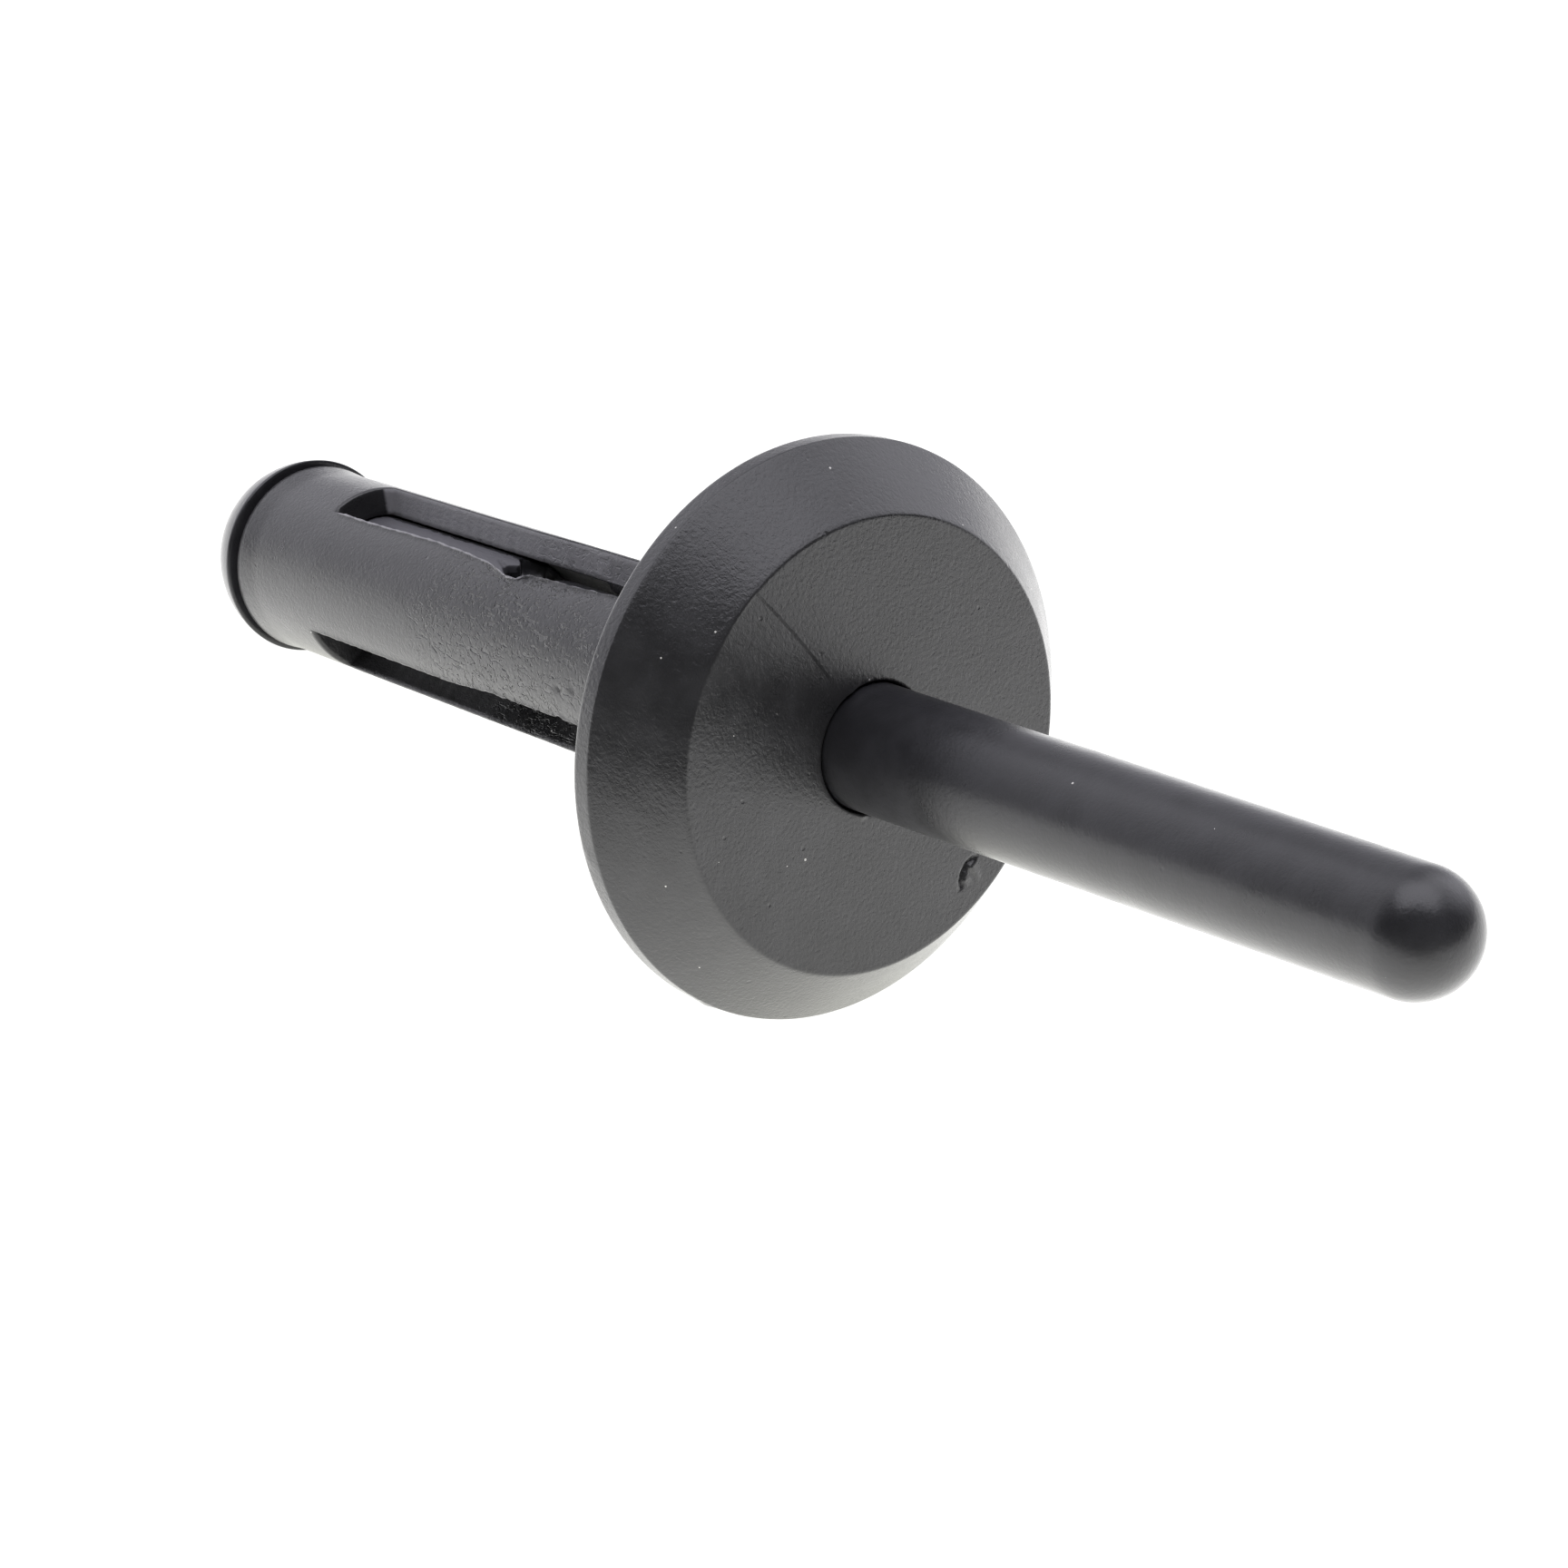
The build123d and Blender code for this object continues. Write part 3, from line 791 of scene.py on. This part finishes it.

# Its patch of painted light lightens the top of the body in the first slot; past its ragged edge lies
# shade.
mandrel_finish = nylon(
    "black_nylon_mandrel", black=(0.019, 0.019, 0.021), painted_light=(0.072, 0.071, 0.079),
    painted_light_from=(-3, -0.57, -24.5), painted_light_to=(3, 3, -15.05), painted_light_radii=(1.9, 2.6),
    painted_light_edge=(0.45, 0.05), worn_place=(0.0, 0.0, -31.5), worn_reach=4.0, grain_depth=0.006,
    scuff_depth=0.006, pit_share=0.04, dust_share=0.10, flash_radius=9.0, matt_within=0.0)
mandrel = rolled_piece("retainer_mandrel", mandrel_sheet, mandrel_finish, unevenness=0.012 * MM,
                       uneven_size=2.0 * MM)
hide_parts("mandrel")

# ---------------------------------------------------------------------------------------------
# The table, tent and camera. The retainer lies on a white light table. Behind it stands a white
# tent with a softbox above and a window to the right; the room in front is dark.
# ---------------------------------------------------------------------------------------------
FLOOR_SIZE = 1.2
TABLE_GLOW = 1.75
STRAIGHT_UP, ALONG_TABLE = 1.15, 0.5    # the acrylic glows less along the table than straight up
SHADE_SEEN = 0.15                       # the share of the table's shading that the camera sees
TABLE_TINT, TENT_TINT = (1.0, 1.0, 0.93, 1), (0.98, 0.97, 1.05, 1)
LENS, OPENING_RADIUS, OPENING_GAP = 84.9046, 0.085, 0.002

# Patches of light in the tent: where they lie, the cosines off it at which they begin and are full,
# their glow, and how they join the ones before. The seam is darker than the tent round it, and the
# softbox's MAXIMUM keeps the sum from falling below 0.
PATCHES = (
    ((-0.883, 0.469, 0.0), -0.12, 0.75, 1.45, "ADD"),           # the tent behind
    ((0.065, 0.740, 0.669), 0.82, 0.97, 1.25, "ADD"),           # the window
    ((-0.624, 0.624, 0.469), 0.80, 0.96, -0.75, "ADD"),         # the seam
    ((0, 0, 1), 0.80, 0.90, 2.85, "MAXIMUM"))                   # the softbox

camera_data = bpy.data.cameras.new("camera")
camera_data.sensor_width = 36
camera_data.lens = LENS
camera_data.clip_start, camera_data.clip_end = 0.01, 5
camera = bpy.data.objects.new("camera", camera_data)
bpy.context.scene.collection.objects.link(camera)
camera.matrix_world = Matrix((
    (0.630435, -0.391378, 0.670354, 0.0756851),
    (0.776242, 0.317863, -0.544437, -0.0602955),
    (0.0, 0.863589, 0.504197, 0.0617872),
    (0, 0, 0, 1)))
bpy.context.scene.camera = camera

half = FLOOR_SIZE / 2
table_mesh = bpy.data.meshes.new("light_table")
corners = [(-half, -half, 0), (half, -half, 0), (half, half, 0), (-half, half, 0)]
table_mesh.from_pydata(corners, [], [(0, 1, 2, 3)])
table = bpy.data.objects.new("light_table", table_mesh)
bpy.context.scene.collection.objects.link(table)

acrylic, tree, white = finish_named("white_acrylic")
white.inputs["Base Color"].default_value = (0.9, 0.9, 0.9, 1)
white.inputs["Roughness"].default_value = 0.9
white.inputs["Specular IOR Level"].default_value = 0.1
slant = add(tree, "ShaderNodeLayerWeight", Blend=0.5)
fading = add(tree, "ShaderNodeMapRange")
fading.inputs["To Min"].default_value = TABLE_GLOW * STRAIGHT_UP
fading.inputs["To Max"].default_value = TABLE_GLOW * ALONG_TABLE
glow = add(tree, "ShaderNodeEmission", Color=TABLE_TINT)
lit = add(tree, "ShaderNodeAddShader")
plain = add(tree, "ShaderNodeEmission", Color=(1, 1, 1, 1), Strength=1.0)
path = add(tree, "ShaderNodeLightPath")
mix = add(tree, "ShaderNodeMixShader")
wire(tree, (slant.outputs["Facing"], fading.inputs["Value"]),
     (fading.outputs["Result"], glow.inputs["Strength"]),
     (white.outputs[0], lit.inputs[0]), (glow.outputs[0], lit.inputs[1]),
     (times(tree, path.outputs["Is Camera Ray"], 1 - SHADE_SEEN), mix.inputs[0]),
     (lit.outputs[0], mix.inputs[1]), (plain.outputs[0], mix.inputs[2]),
     (mix.outputs[0], tree.nodes["Material Output"].inputs["Surface"]))
table_mesh.materials.append(acrylic)

world = bpy.data.worlds.new("white_tent")
bpy.context.scene.world = world
world.use_nodes = True
tree = world.node_tree
look = add(tree, "ShaderNodeTexCoord")
total = 0.0
for towards, begins, full, strength, join in PATCHES:
    facing = add(tree, "ShaderNodeVectorMath", operation="DOT_PRODUCT")
    facing.inputs[1].default_value = towards
    tree.links.new(look.outputs["Generated"], facing.inputs[0])
    light = times(tree, stepped(tree, facing.outputs["Value"], begins, full), strength)
    total = formula(tree, join, total, light)
tent = tree.nodes["Background"]
tent.inputs["Color"].default_value = TENT_TINT
backdrop = add(tree, "ShaderNodeBackground", Color=(1, 1, 1, 1), Strength=1.0)
path = add(tree, "ShaderNodeLightPath")
mix = add(tree, "ShaderNodeMixShader")
wire(tree, (total, tent.inputs["Strength"]), (path.outputs["Is Camera Ray"], mix.inputs[0]),
     (tent.outputs[0], mix.inputs[1]), (backdrop.outputs[0], mix.inputs[2]),
     (mix.outputs[0], tree.nodes["World Output"].inputs["Surface"]))

# The dark opening in the tent, just behind the camera
opening_shape = bmesh.new()
bmesh.ops.create_circle(opening_shape, cap_ends=True, segments=64, radius=OPENING_RADIUS)
opening_mesh = bpy.data.meshes.new("tent_opening")
opening_shape.to_mesh(opening_mesh)
opening_shape.free()
opening = bpy.data.objects.new("tent_opening", opening_mesh)
bpy.context.scene.collection.objects.link(opening)
opening.matrix_world = camera.matrix_world @ Matrix.Translation((0, 0, OPENING_GAP))
opening.visible_camera = False
dark, _, shader = finish_named("dark_opening")
shader.inputs["Base Color"].default_value = (0.02, 0.02, 0.02, 1)
shader.inputs["Roughness"].default_value = 0.9
opening_mesh.materials.append(dark)
